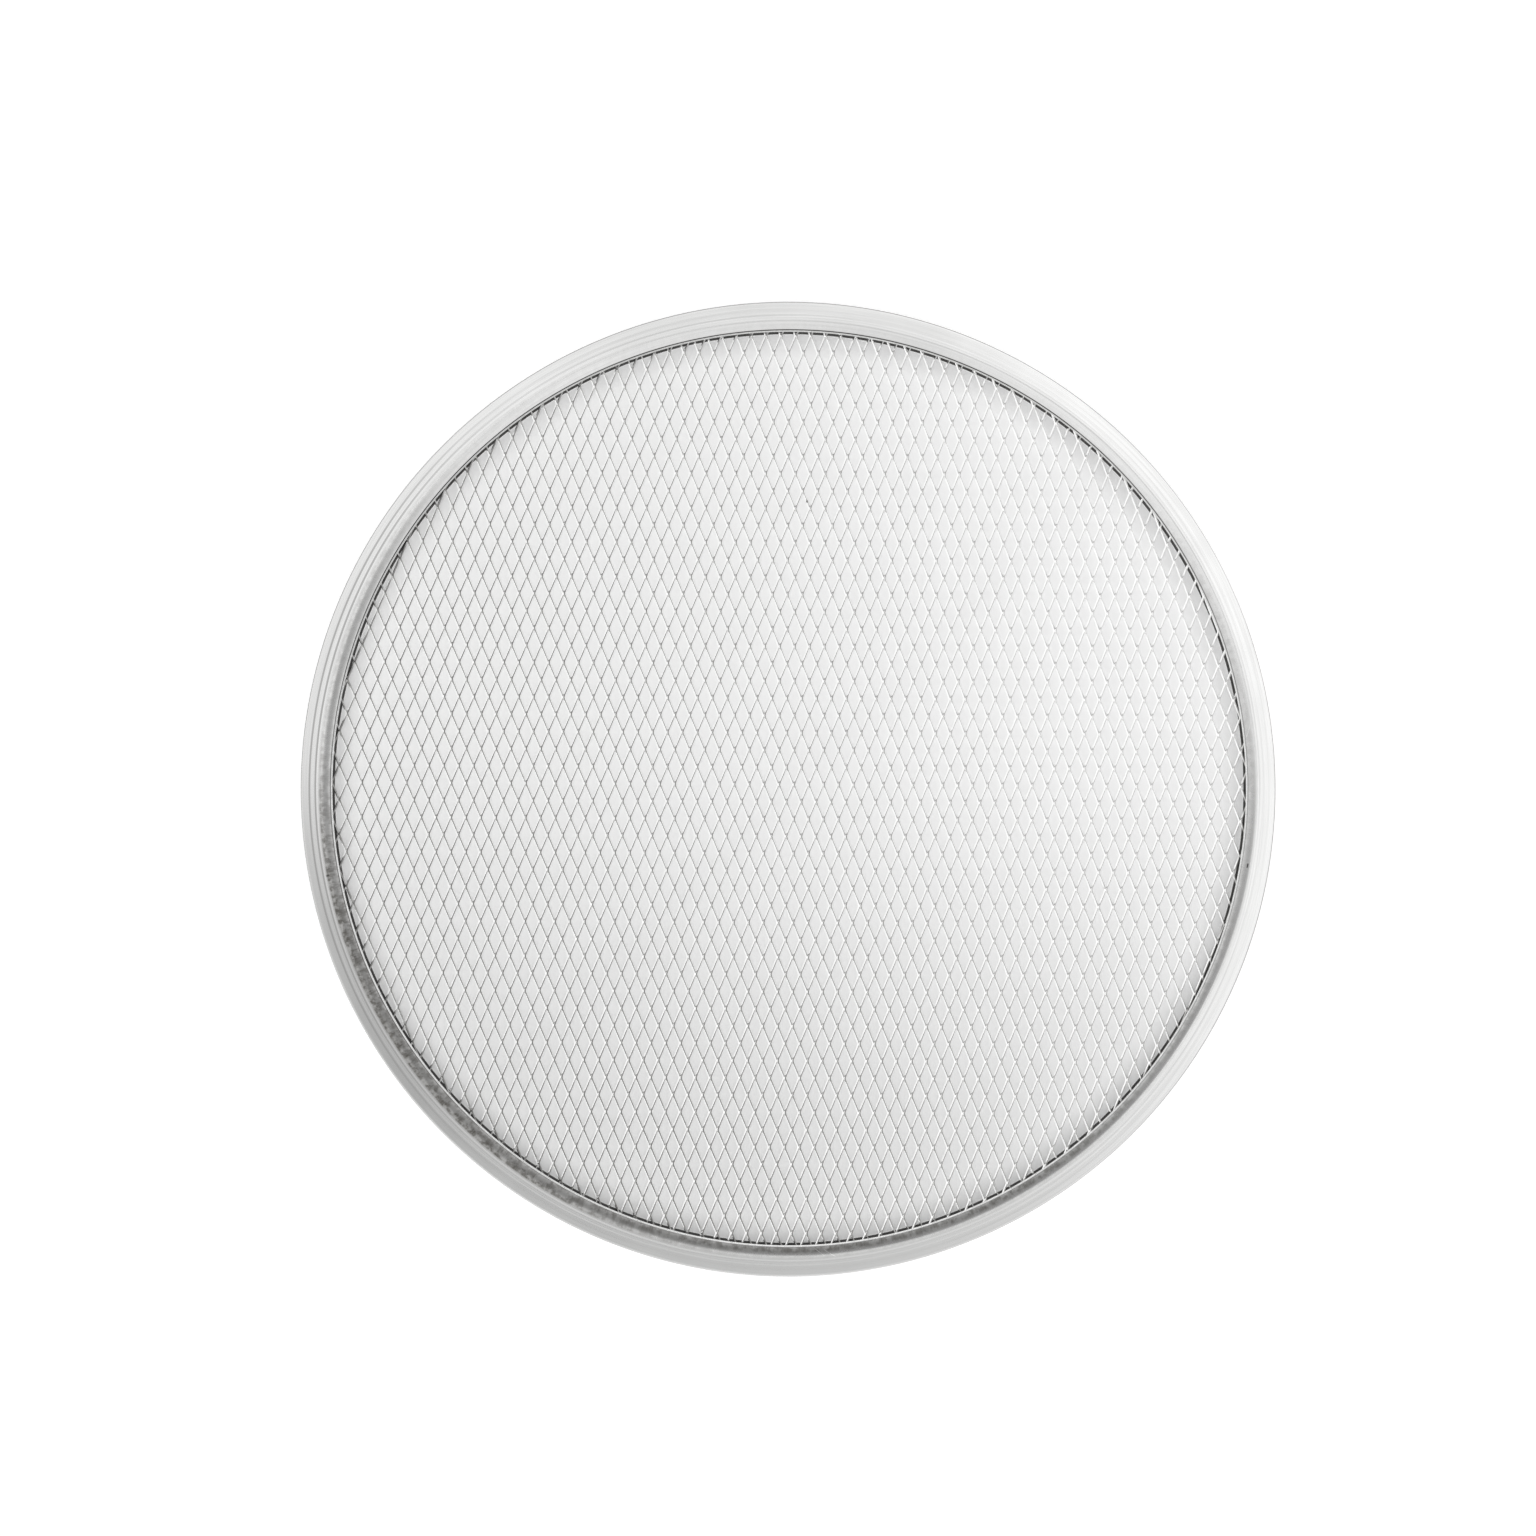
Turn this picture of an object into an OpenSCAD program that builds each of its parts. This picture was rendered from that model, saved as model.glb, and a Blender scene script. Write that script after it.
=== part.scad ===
// Pizza screen: a disc of expanded aluminium sheet, held all round by a folded aluminium rim.
// It lies as it is used, its flat underside on Z = 0 and its middle on the Z axis.

/* [Rim] */
// Diameter over the outside of the rim
rim_d = 304.8; // [200:0.1:420]
// Radial width of the rim's top, from the outer fold in to the edge that bites on the mesh
rim_top_w = 9.6; // [8:0.1:14]
// Radial width of the rim's flat underside
rim_base_w = 10.2; // [8:0.1:14]
// Thickness of the closed rim, from its underside to its top
rim_h = 3.2; // [2.9:0.1:5]
// Thickness of the strip that the rim is folded from
strip_t = 0.5; // [0.3:0.05:0.7]
// Radial width of the flat lip along the rim's cut edge, where it bites on the mesh
lip_w = 0.9; // [0.6:0.1:1.5]
// Radial width of the slope that is pressed down to the lip
slope_w = 1.8; // [1:0.1:3]
// Radial width of the gentle shoulder between the slope and the flat top
shoulder_w = 1.3; // [0.5:0.1:2.5]
// Drop of the shoulder over its width
shoulder_drop = 0.2; // [0.05:0.05:0.35]

/* [Mesh] */
// Short way of a diamond, from bond to bond along X
diamond_short = 4.66; // [3.5:0.01:9]
// Long way of a diamond, from bond to bond along Y
diamond_long = 10.8; // [8:0.05:20]
// Width of a strand seen from above
strand_w = 0.7; // [0.4:0.05:1.2]
// Thickness of the mesh over both of its slants of strand
mesh_t = 1.2; // [0.8:0.05:1.6]
// Turn of the diamonds from the Y axis, clockwise from above, in degrees
mesh_turn = 0.3; // [-5:0.1:5]
// Place of one bond across, measured from the middle of the disc
bond_x = 1.9; // [-5:0.1:5]
// Place of the same bond along Y
bond_y = 1.4; // [-5:0.1:5]

/* [Fits] */
// Gap between a strand and the rim's strip above and below it
fit_gap = 0.05; // [0.02:0.01:0.1]
// Gap between the strands of one slant and those of the other
slant_gap = 0.04; // [0.02:0.01:0.1]
// How far the mesh's edge band stays back under the rim's top, out of sight
band_setback = 0.6; // [0.4:0.1:1.5]
// Gap between the mesh's edge band and the start of the rim's outer fold
band_fold_gap = 3.3; // [0.5:0.1:3.5]

/* [Hidden] */
$fn = 180;

rim_r = rim_d / 2;
fold_r = rim_h / 2;
open_r = rim_r - rim_top_w;
base_open_r = rim_r - rim_base_w;
lip_out_r = open_r + lip_w;
slope_out_r = lip_out_r + slope_w;
shoulder_out_r = slope_out_r + shoulder_w;

// The mesh's edge band lies on the rim's base, and the rim's top comes down to its upper face.
band_z = strip_t;
band_h = mesh_t + 2 * fit_gap;
band_in_r = open_r + band_setback;
band_out_r = rim_r - fold_r - band_fold_gap;
bite_z = band_z + band_h;
top_z = rim_h - strip_t;

// Each strand leans from the Y axis by the half angle of a diamond's sharp corner.
strand_lean = atan(diamond_short / diamond_long);
strand_pitch = diamond_short * cos(strand_lean);
strand_h = (mesh_t - slant_gap) / 2;
strand_end_r = (band_in_r + band_out_r) / 2;
low_slant_z = band_z + fit_gap;
high_slant_z = low_slant_z + strand_h + slant_gap;

// Distance from the middle of the disc to the line of one slant that runs through the bond
function line_offset(lean) = bond_x * cos(lean) - bond_y * sin(lean);

// Flat stretch of strip from one radius out to another, in section
module strip_flat(from_r, to_r, z) {
    translate([from_r, z])
        square([to_r - from_r, strip_t]);
}

// Rounded cut edge of the strip in section, its tip at a radius and its underside at z
module strip_edge(tip_r, z) {
    translate([tip_r + strip_t / 2, z + strip_t / 2])
        difference() {
            circle(d = strip_t);
            translate([0, -strip_t])
                square(2 * strip_t);
        }
}

// Outer fold of the strip in section, a half round that joins base and top
module strip_fold() {
    translate([rim_r - fold_r, fold_r])
        difference() {
            circle(r = fold_r);
            circle(r = fold_r - strip_t);
            translate([-2 * fold_r, -fold_r])
                square(2 * fold_r);
        }
}

// Slanted stretch of strip in section, its underside rising from one radius and height to another
module strip_slant(from_r, from_z, to_r, to_z) {
    polygon([
        [from_r, from_z],
        [to_r, to_z],
        [to_r, to_z + strip_t],
        [from_r, from_z + strip_t]
    ]);
}

// Rim: one strip folded round the mesh's edge into a closed ring
module rim() {
    color("silver")
        rotate_extrude() {
            strip_edge(base_open_r, 0);
            strip_flat(base_open_r + strip_t / 2, rim_r - fold_r, 0);
            strip_fold();
            strip_flat(shoulder_out_r, rim_r - fold_r, top_z);
            strip_slant(slope_out_r, top_z - shoulder_drop, shoulder_out_r, top_z);
            strip_slant(lip_out_r, bite_z, slope_out_r, top_z - shoulder_drop);
            strip_flat(open_r + strip_t / 2, lip_out_r, bite_z);
            strip_edge(open_r, bite_z);
        }
}

// All strands of one slant: parallel lines at the diamonds' pitch, each cut off in the edge band
module strand_slant(lean, z) {
    first = ceil((-band_in_r + strand_w - line_offset(lean)) / strand_pitch);
    last = floor((band_in_r - strand_w - line_offset(lean)) / strand_pitch);
    rotate([0, 0, -lean])
        for (i = [first:last]) {
            across = line_offset(lean) + i * strand_pitch;
            half_length = sqrt(pow(strand_end_r, 2) - pow(across, 2));
            translate([across - strand_w / 2, -half_length, z])
                cube([strand_w, 2 * half_length, strand_h]);
        }
}

// Flattened edge of the mesh inside the rim, which ties the strands of both slants together
module edge_band() {
    translate([0, 0, band_z])
        difference() {
            cylinder(r = band_out_r, h = band_h);
            translate([0, 0, -band_h])
                cylinder(r = band_in_r, h = 3 * band_h);
        }
}

// Mesh: one disc of diamonds, its two slants of strand joined in its edge
module mesh() {
    color("gainsboro")
        union() {
            edge_band();
            strand_slant(mesh_turn - strand_lean, low_slant_z);
            strand_slant(mesh_turn + strand_lean, high_slant_z);
        }
}

rim();
mesh();
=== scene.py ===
"""Pizza screen: a disc of expanded aluminium mesh held in a folded aluminium rim, seen from above.

All lengths are in metres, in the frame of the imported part: Z up, the underside on Z = 0.
"""
import logging
import math
from dataclasses import dataclass
from enum import Enum

import bpy
import numpy as np
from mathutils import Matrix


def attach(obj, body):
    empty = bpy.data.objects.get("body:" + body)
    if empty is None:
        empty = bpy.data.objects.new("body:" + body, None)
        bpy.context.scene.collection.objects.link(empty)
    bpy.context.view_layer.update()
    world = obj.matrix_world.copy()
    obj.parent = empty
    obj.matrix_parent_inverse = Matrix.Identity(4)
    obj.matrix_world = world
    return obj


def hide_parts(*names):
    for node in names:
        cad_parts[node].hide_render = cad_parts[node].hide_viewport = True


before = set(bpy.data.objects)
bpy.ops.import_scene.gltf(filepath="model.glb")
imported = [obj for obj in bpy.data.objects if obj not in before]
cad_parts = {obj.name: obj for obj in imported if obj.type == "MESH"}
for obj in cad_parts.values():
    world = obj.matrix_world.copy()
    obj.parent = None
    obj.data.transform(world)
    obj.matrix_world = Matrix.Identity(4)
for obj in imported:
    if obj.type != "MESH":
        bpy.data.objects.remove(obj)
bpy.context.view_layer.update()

log = logging.getLogger("pizza_screen")

MM = 0.001
Colour = tuple[float, float, float]
Point = tuple[float, float]
Place = tuple[float, float, float]
Profile = list[Point]
Faces = list[tuple[int, ...]]
Socket = bpy.types.NodeSocket


class Slot(Enum):
    """Material slots that the record names."""

    RIM = "rim_aluminium"
    MESH = "mesh_aluminium"


@dataclass(frozen=True)
class PhotoFrame:
    """The photograph's frame, and where the screen lies in it."""

    size_px: float = 1536.0
    centre_px: Point = (767.5, 767.5)
    middle_px: Point = (787.6, 788.6)
    rim_radius_px: float = 487.4
    rim_radius: float = 152.4 * MM

    @property
    def pixel(self) -> float:
        """Length that one pixel covers at the widest part of the rim."""
        return self.rim_radius / self.rim_radius_px

    def place(self, px: float, py: float) -> Point:
        """Turns a pixel of the photograph into a place on the screen.

        Args:
            px: Pixels from the left.
            py: Pixels from the top.

        Returns:
            The place's X and Y.
        """
        across = (px - self.middle_px[0]) * self.pixel
        up = (self.middle_px[1] - py) * self.pixel
        return across, up


PHOTO = PhotoFrame()


class Value:
    """A number that changes over a surface: a node's output with Python's arithmetic."""

    def __init__(self, graph: "ShaderGraph", socket: Socket) -> None:
        """Keeps a node's output and the graph that the node belongs to."""
        self.graph = graph
        self.socket = socket

    def __add__(self, other: "Number") -> "Value":
        """Sum."""
        return self.graph.math("ADD", self, other)

    def __radd__(self, other: "Number") -> "Value":
        """Sum with a plain number first."""
        return self.graph.math("ADD", other, self)

    def __sub__(self, other: "Number") -> "Value":
        """Difference."""
        return self.graph.math("SUBTRACT", self, other)

    def __rsub__(self, other: "Number") -> "Value":
        """Difference with a plain number first."""
        return self.graph.math("SUBTRACT", other, self)

    def __mul__(self, other: "Number") -> "Value":
        """Product."""
        return self.graph.math("MULTIPLY", self, other)

    def __rmul__(self, other: "Number") -> "Value":
        """Product with a plain number first."""
        return self.graph.math("MULTIPLY", other, self)

    def __truediv__(self, other: "Number") -> "Value":
        """Quotient."""
        return self.graph.math("DIVIDE", self, other)

    def size(self) -> "Value":
        """Number without its sign."""
        return self.graph.math("ABSOLUTE", self)

    def root(self) -> "Value":
        """Square root."""
        return self.graph.math("SQRT", self)

    def at_least(self, other: "Number") -> "Value":
        """Larger of the two."""
        return self.graph.math("MAXIMUM", self, other)

    def lifted(self, least: float) -> "Value":
        """Number from 0 to 1, spread from the least share to 1."""
        return least + (1.0 - least) * self

    def step(self, start: float, end: float) -> "Value":
        """Smooth step of the number.

        Args:
            start: Where the step leaves 0.
            end: Where the step reaches 1. It may lie below start.

        Returns:
            The step's value.
        """
        made = self.graph.node(
            "ShaderNodeMapRange",
            {"interpolation_type": "SMOOTHSTEP"},
            {"Value": self, "From Min": start, "From Max": end},
        )
        return Value(self.graph, made.outputs["Result"])

    def band(self, start: float, end: float, soft: float) -> "Value":
        """Smooth band: 1 from start to end and 0 outside, with edges that fade over a width of soft."""
        half = soft / 2
        return self.step(start - half, start + half) * self.step(end + half, end - half)


Number = Value | float
Input = Value | Socket | float | tuple[float, ...]
Inputs = dict[str | int, Input]


@dataclass(frozen=True)
class Grain:
    """Make of a cloudy noise.

    The size is that of its clouds along each coordinate. The noise starts to show at the first value of
    shows, and shows in full from the second.
    """

    size: tuple[float, float, float]
    shows: Point = (0.0, 1.0)
    shift: float = 0.0
    detail: float = 2.0
    rough: float = 0.5


@dataclass(frozen=True)
class Region:
    """A side of the disc, which fades in from start to full, measured from the middle."""

    across: float
    up: float
    start: float
    full: float

    def mask(self, x: Value, y: Value) -> Value:
        """Gives 0 up to the region's start and 1 from where it is full."""
        return (x * self.across + y * self.up).step(self.start, self.full)


class ShaderGraph:
    """Adds nodes to the tree of one material or of the world."""

    def __init__(self, tree: bpy.types.NodeTree) -> None:
        """Empties a node tree and keeps it."""
        self.tree = tree
        self.tree.nodes.clear()

    def node(
        self,
        kind: str,
        settings: dict[str, object] | None = None,
        inputs: Inputs | None = None,
    ) -> bpy.types.Node:
        """Adds one node.

        Args:
            kind: The node's type.
            settings: The node's own settings, set before its sockets.
            inputs: Value or link of each socket, by the socket's name or number.

        Returns:
            The new node.
        """
        made = self.tree.nodes.new(kind)
        for name, setting in (settings or {}).items():
            setattr(made, name, setting)
        for name, given in (inputs or {}).items():
            self.feed(made.inputs[name], given)
        return made

    def feed(self, socket: Socket, given: Input) -> None:
        """Links a socket or sets its value.

        Args:
            socket: Input to fill.
            given: A link or a value.
        """
        if isinstance(given, Value):
            self.tree.links.new(given.socket, socket)
        elif isinstance(given, Socket):
            self.tree.links.new(given, socket)
        elif isinstance(given, tuple) and len(socket.default_value) == 4:
            socket.default_value = (*given, 1.0)
        else:
            socket.default_value = given

    def math(self, operation: str, *terms: Number) -> Value:
        """Adds a Math node, by its operation and its one or two numbers, and gives the result."""
        made = self.node("ShaderNodeMath", {"operation": operation}, dict(enumerate(terms)))
        return Value(self, made.outputs[0])

    def mix(self, amount: Number, under: Input, over: Input) -> Socket:
        """Mixes two colours, which a Mix node takes on sockets 6 and 7 and gives on its output 2.

        Args:
            amount: Share of the second colour.
            under: First colour.
            over: Second colour.

        Returns:
            The mixed colour.
        """
        sockets: Inputs = {0: amount, 6: under, 7: over}
        made = self.node("ShaderNodeMix", {"data_type": "RGBA"}, sockets)
        return made.outputs[2]

    def place(self) -> tuple[Value, Value, Value]:
        """Gives the place on the object, which is the same as in the part's frame.

        Returns:
            X, Y and Z.
        """
        given = self.node("ShaderNodeTexCoord").outputs["Object"]
        parts = self.node("ShaderNodeSeparateXYZ", None, {0: given})
        x, y, z = (Value(self, part) for part in parts.outputs)
        return x, y, z

    def noise(self, at: tuple[Value, Value, Value], grain: Grain) -> Value:
        """Adds a cloudy noise.

        Args:
            at: Coordinates to spread it over.
            grain: Its make.

        Returns:
            The noise, from 0 to 1 and about 0.5 on average.
        """
        first, second, third = (along / size for along, size in zip(at, grain.size))
        where = self.node("ShaderNodeCombineXYZ", None, {0: first, 1: second, 2: third + grain.shift})
        given: Inputs = {"Vector": where.outputs[0], "Scale": 1.0}
        given.update({"Detail": grain.detail, "Roughness": grain.rough})
        made = self.node("ShaderNodeTexNoise", {"noise_dimensions": "3D"}, given)
        return Value(self, made.outputs[0])

    def metal(self, made: bpy.types.Material, inputs: Inputs) -> bpy.types.Material:
        """Ends a metal's material with its shader.

        Args:
            made: Material that the tree belongs to.
            inputs: The shader's own inputs.

        Returns:
            The finished material.
        """
        shader = self.node("ShaderNodeBsdfPrincipled", None, inputs)
        self.node("ShaderNodeOutputMaterial", None, {"Surface": shader.outputs[0]})
        return made

    def bump(self, height: Value, strength: float, depth: float) -> Socket:
        """Adds a bump of a height from 0 to 1, with the depth of a full one, and gives the normal."""
        given: Inputs = {"Strength": strength, "Distance": depth, "Height": height}
        return self.node("ShaderNodeBump", None, given).outputs["Normal"]


@dataclass(frozen=True)
class Mark:
    """A small mark of use, placed by its pixel in the photograph."""

    pixel: Point
    length: float
    width: float
    turn: float = 0.0
    bow: float = 0.0

    def mask(self, x: Value, y: Value) -> Value:
        """Builds the mark's mask.

        Args:
            x: Place across.
            y: Place along Y.

        Returns:
            1 on the mark and 0 away from it.
        """
        at_x, at_y = PHOTO.place(*self.pixel)
        cos, sin = math.cos(math.radians(self.turn)), math.sin(math.radians(self.turn))
        along = (x - at_x) * cos + (y - at_y) * sin
        across = (y - at_y) * cos - (x - at_x) * sin
        bowed = across - along * along * self.bow
        slim = bowed.size().step(self.width / 2, self.width / 6)
        return slim * along.size().step(self.length / 2, self.length / 3)


@dataclass(frozen=True)
class RimPlace:
    """Where a point of the rim's surface lies.

    Its lip radius is measured from the middle of the lip's circle, and its top is 1 on the strip's upper
    side and 0 on its other sides.
    """

    x: Value
    y: Value
    z: Value
    radius: Value
    lip_radius: Value
    top: Value


@dataclass(frozen=True)
class RimFinish:
    """Rolled aluminium strip: fine lines along the ring, a burnished lip, tarnishing mixed with painted
    shade on the slope, and painted shade in the furrows, the crease, the gap under the lip, on the lip
    along the ring's top side and as a layer on the top.
    """

    clean: Colour = (0.89, 0.89, 0.885)
    lined: Colour = (0.77, 0.77, 0.765)
    painted_shade_grey: Colour = (0.42, 0.42, 0.415)
    tarnish_and_shade: Colour = (0.165, 0.158, 0.147)
    # Real stains, and also painted shade in the crease and in the gap under the lip.
    residue_and_shade: Colour = (0.045, 0.043, 0.04)
    burnished: Colour = (0.94, 0.94, 0.935)
    roughness: float = 0.16
    bump_strength: float = 0.25
    bump_depth: float = 0.012 * MM

    top_z: Point = (1.75 * MM, 1.95 * MM)
    ring_shift: Point = (0.33 * MM, 0.18 * MM)
    crease_r: float = 143.38 * MM
    crease_half: Point = (0.23 * MM, 0.07 * MM)
    slope_r: Point = (143.33 * MM, 146.9 * MM)
    slope_soft: float = 0.8 * MM
    outer_slope_r: Point = (144.5 * MM, 145.8 * MM)
    furrow_radii: tuple[float, ...] = (147.95 * MM, 149.80 * MM)
    furrow_half: Point = (0.44 * MM, 0.12 * MM)
    film_r: Point = (152.2 * MM, 151.2 * MM)
    lip_r: Point = (143.36 * MM, 143.26 * MM)
    inside_z: Point = (0.3 * MM, 1.79 * MM)
    inside_r: Point = (148.0 * MM, 147.0 * MM)
    inside_soft: float = 0.04 * MM

    line_share: float = 0.40
    broad_share: float = 0.45
    furrow_shade_share: Point = (0.08, 0.8)
    stain_share: float = 0.8
    scratch_share: float = 0.7
    lip_shade_share: float = 0.5
    gap_shade_share: float = 0.94
    gap_shade_plain: float = 0.8
    crease_least: float = 0.15
    crease_high: float = 0.70
    crease_left: float = 0.35
    crease_cloud: float = 0.2
    tarnish_dull: float = 0.22
    inside_dull: float = 0.5
    crease_dull: float = 0.3
    cloud_dull: float = 0.08
    line_dull: float = 0.06
    line_height: float = 0.6
    mottle_height: float = 0.25
    cross_height: float = 0.15
    line_grain: Grain = Grain((30.0 * MM, 30.0 * MM, 0.28 * MM), (0.40, 0.75), detail=3.0, rough=0.6)
    broad_grain: Grain = Grain((60.0 * MM, 60.0 * MM, 1.1 * MM), (0.45, 0.70), shift=7.0)
    cloud_grain: Grain = Grain((12.0 * MM, 12.0 * MM, 4.0 * MM), shift=3.0, detail=3.0)
    mottle_grain: Grain = Grain((2.2 * MM, 2.2 * MM, 3.0 * MM), (0.38, 0.60), 11.0, 4.0, 0.65)
    cross_grain: Grain = Grain((1 / 380, 1 / 380, 3.0 * MM), (0.35, 0.65))

    # Tarnishing mixed with painted shade on the slope, spread by side of the ring.
    tarnish_shade_above: float = 0.12
    tarnish_shade_beside: float = 0.37
    tarnish_shade_dimmed: float = 0.87
    tarnish_shade_inwards: float = 0.85
    tarnish_shade_drop: float = 0.7
    tarnish_shade_left: float = 0.9
    tarnish_shade_low_right: float = 0.5
    mottle_least: float = 0.50
    cross_least: float = 0.85
    high: Region = Region(0.0, 1.0, -20.0 * MM, 120.0 * MM)
    low: Region = Region(0.35, 0.94, 0.0, -90.0 * MM)
    low_right: Region = Region(-0.12, 0.94, 0.0, -90.0 * MM)
    left: Region = Region(1.0, 0.0, 0.0, -100.0 * MM)
    far_left: Region = Region(1.0, 0.0, -80.0 * MM, -140.0 * MM)
    sides: Point = (90.0 * MM, 140.0 * MM)
    # Share and side of each painted shade layer on the top.
    shade_films: tuple[tuple[float, Region], ...] = (
        (0.48, Region(-0.34, -0.94, 20.0 * MM, 150.0 * MM)),
        (0.22, Region(0.0, 1.0, 125.0 * MM, 147.0 * MM)),
        (0.27, Region(-0.9, -0.42, 130.0 * MM, 147.0 * MM)),
    )
    stains: tuple[Mark, ...] = (
        Mark((1246.5, 865.0), 1.6 * MM, 0.7 * MM, 80.0),
        Mark((328.0, 875.0), 1.2 * MM, 0.8 * MM, 20.0),
    )
    scratches: tuple[Mark, ...] = (
        Mark((1248.0, 729.0), 7.0 * MM, 0.25 * MM, 75.0, 25.0),
        Mark((819.0, 1251.0), 4.5 * MM, 0.2 * MM, -35.0),
        Mark((829.0, 1252.0), 5.0 * MM, 0.2 * MM, -30.0, 20.0),
    )

    def place(self, graph: ShaderGraph) -> RimPlace:
        """Finds where a point of the rim's surface lies.

        Args:
            graph: Graph to add it to.

        Returns:
            The place.
        """
        x, y, z = graph.place()
        radius = (x * x + y * y).root()
        lip_x, lip_y = x - self.ring_shift[0], y - self.ring_shift[1]
        lip_radius = (lip_x * lip_x + lip_y * lip_y).root()
        return RimPlace(x, y, z, radius, lip_radius, z.step(*self.top_z))

    def rolled(self, graph: ShaderGraph, at: RimPlace, lines: Value) -> Socket:
        """Colours the strip: fine and broad lines as it was rolled, painted shade in two furrows, deepest
        on the far left, and a painted shade layer on the top, by side.

        Args:
            graph: Graph to add it to.
            at: Where the point lies.
            lines: Noise of the fine lines.

        Returns:
            The colour.
        """
        broad_lines = graph.noise((at.x, at.y, at.radius), self.broad_grain)
        fine_share = lines.step(*self.line_grain.shows) * self.line_share
        broad_share = broad_lines.step(*self.broad_grain.shows) * self.broad_share
        colour = graph.mix(fine_share, self.clean, self.lined)
        colour = graph.mix(broad_share, colour, self.lined)
        # Painted shade in the two furrows, much deeper on the far left.
        depth = self.furrow_shade_share[0] + self.furrow_shade_share[1] * self.far_left.mask(at.x, at.y)
        for furrow_r in self.furrow_radii:
            line = (at.lip_radius - furrow_r).size().step(*self.furrow_half) * at.top
            colour = graph.mix(line * depth, colour, self.painted_shade_grey)
        # Painted shade layer on the top inside the outer edge, most on the low side and at the top and
        # lower-left edges.
        film_shade: Number = 0.0
        for share, region in self.shade_films:
            film_shade = film_shade + share * region.mask(at.x, at.y)
        film_shade = film_shade * at.top * at.radius.step(*self.film_r)
        return graph.mix(film_shade, colour, self.painted_shade_grey)

    def tarnish_and_shade_share(self, at: RimPlace, on_slope: Value, mottle: Value, cross_lines: Value) -> Value:
        """Tells how much tarnishing, mixed with painted shade, a point gets.

        The low side gets the most, then both sides across, which is painted shade by side. It drops
        towards the outer part of the slope, except on the left.

        Args:
            at: Where the point lies.
            on_slope: 1 on the slope and 0 beside it.
            mottle: Noise of small clouds.
            cross_lines: Noise of fine lines across the strip.

        Returns:
            Share of tarnishing and painted shade.
        """
        low_right = self.low_right.mask(at.x, at.y) * self.tarnish_shade_low_right
        low = self.low.mask(at.x, at.y).at_least(low_right)
        outer = at.lip_radius.step(*self.outer_slope_r)
        beside = at.x.size().step(*self.sides) * self.tarnish_shade_beside
        spread = low.lifted(self.tarnish_shade_above).at_least(beside) * low.lifted(self.tarnish_shade_dimmed)
        outwards = outer * (self.tarnish_shade_left * self.left.mask(at.x, at.y) - self.tarnish_shade_drop)
        covered = spread * (self.tarnish_shade_inwards + outwards)
        clouded = on_slope * covered * mottle.step(*self.mottle_grain.shows).lifted(self.mottle_least)
        return clouded * cross_lines.step(*self.cross_grain.shows).lifted(self.cross_least)

    def marked(self, graph: ShaderGraph, at: RimPlace, colour: Socket) -> Socket:
        """Adds stains and scratches to a colour.

        Args:
            graph: Graph to add them to.
            at: Where the point lies.
            colour: Colour beneath them.

        Returns:
            The marked colour.
        """
        for stain in self.stains:
            share = stain.mask(at.x, at.y) * at.top * self.stain_share
            colour = graph.mix(share, colour, self.residue_and_shade)
        for scratch in self.scratches:
            share = scratch.mask(at.x, at.y) * at.top * self.scratch_share
            colour = graph.mix(share, colour, self.burnished)
        return colour

    def material(self) -> bpy.types.Material:
        """Builds the material.

        Returns:
            The rim's material.
        """
        made = bpy.data.materials.new("rolled_aluminium_rim")
        made.use_nodes = True
        graph = ShaderGraph(made.node_tree)
        at = self.place(graph)
        lines = graph.noise((at.x, at.y, at.radius), self.line_grain)
        cloud = graph.noise((at.x, at.y, at.z), self.cloud_grain)
        mottle = graph.noise((at.x, at.y, at.z), self.mottle_grain)
        cross_lines = graph.noise((at.x / at.radius, at.y / at.radius, at.radius), self.cross_grain)
        on_slope = at.lip_radius.band(*self.slope_r, self.slope_soft) * at.top

        # Tarnishing mixed with painted shade on the slope, darkest on the low side.
        tarnish_and_shade_share = self.tarnish_and_shade_share(at, on_slope, mottle, cross_lines)
        colour = graph.mix(tarnish_and_shade_share, self.rolled(graph, at, lines), self.tarnish_and_shade)
        colour = self.marked(graph, at, colour)

        high = self.high.mask(at.x, at.y)
        far_left = self.far_left.mask(at.x, at.y)
        lip = at.lip_radius.step(*self.lip_r) * at.top
        colour = graph.mix(lip, colour, self.burnished)
        # Painted shade on the lip along the ring's top side.
        colour = graph.mix(lip * high * self.lip_shade_share, colour, self.painted_shade_grey)
        # Painted crease shade, deeper along the top side and the far left, clouded.
        crease = (at.lip_radius - self.crease_r).size().step(*self.crease_half) * at.top
        crease_shade = self.crease_least + self.crease_high * high + self.crease_left * far_left
        colour = graph.mix(crease * (crease_shade + self.crease_cloud * cloud), colour, self.residue_and_shade)
        # Painted shade in the gap under the lip: the strip's inner faces below its top are darkened and
        # made less metallic.
        inside = at.z.band(*self.inside_z, self.inside_soft) * at.lip_radius.step(*self.inside_r)
        colour = graph.mix(inside * self.gap_shade_share, colour, self.residue_and_shade)

        dull = tarnish_and_shade_share * self.tarnish_dull + inside * self.inside_dull + crease * self.crease_dull
        height = lines * self.line_height + mottle * self.mottle_height
        height = height + cross_lines * self.cross_height * on_slope
        return graph.metal(
            made,
            {
                "Base Color": colour,
                "Metallic": 1.0 - self.gap_shade_plain * inside,
                "Roughness": self.roughness + self.cloud_dull * cloud + self.line_dull * lines + dull,
                "Normal": graph.bump(height, self.bump_strength, self.bump_depth),
            },
        )


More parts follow.
